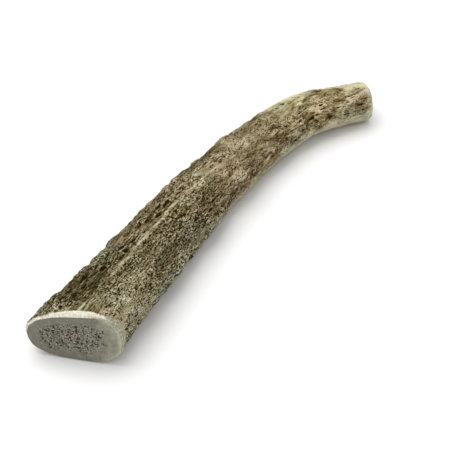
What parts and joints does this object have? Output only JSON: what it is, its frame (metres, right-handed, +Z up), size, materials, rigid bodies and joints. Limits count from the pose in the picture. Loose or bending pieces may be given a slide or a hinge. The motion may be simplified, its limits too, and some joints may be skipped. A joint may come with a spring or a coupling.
{
  "type": "fallow deer antler dog chew",
  "caption": "Length of natural antler beam, bent and tapering, sawn off flat at both ends, lying on its side as a dog chew.",
  "frame": {"origin": "middle of the chew's box, on the surface it lies on", "axes": "+Z up from the surface it lies on, +X along its length from the thick end to the thin end, the bend's outer side towards +Y"},
  "size_m": [0.2166, 0.0532, 0.0253],
  "materials": {
    "antler": "matt brown-grey weathered antler, paler bone on the sawn faces and the worn thin end"
  },
  "bodies": {
    "root": {"antler_chew": "antler"}
  },
  "joints": []
}
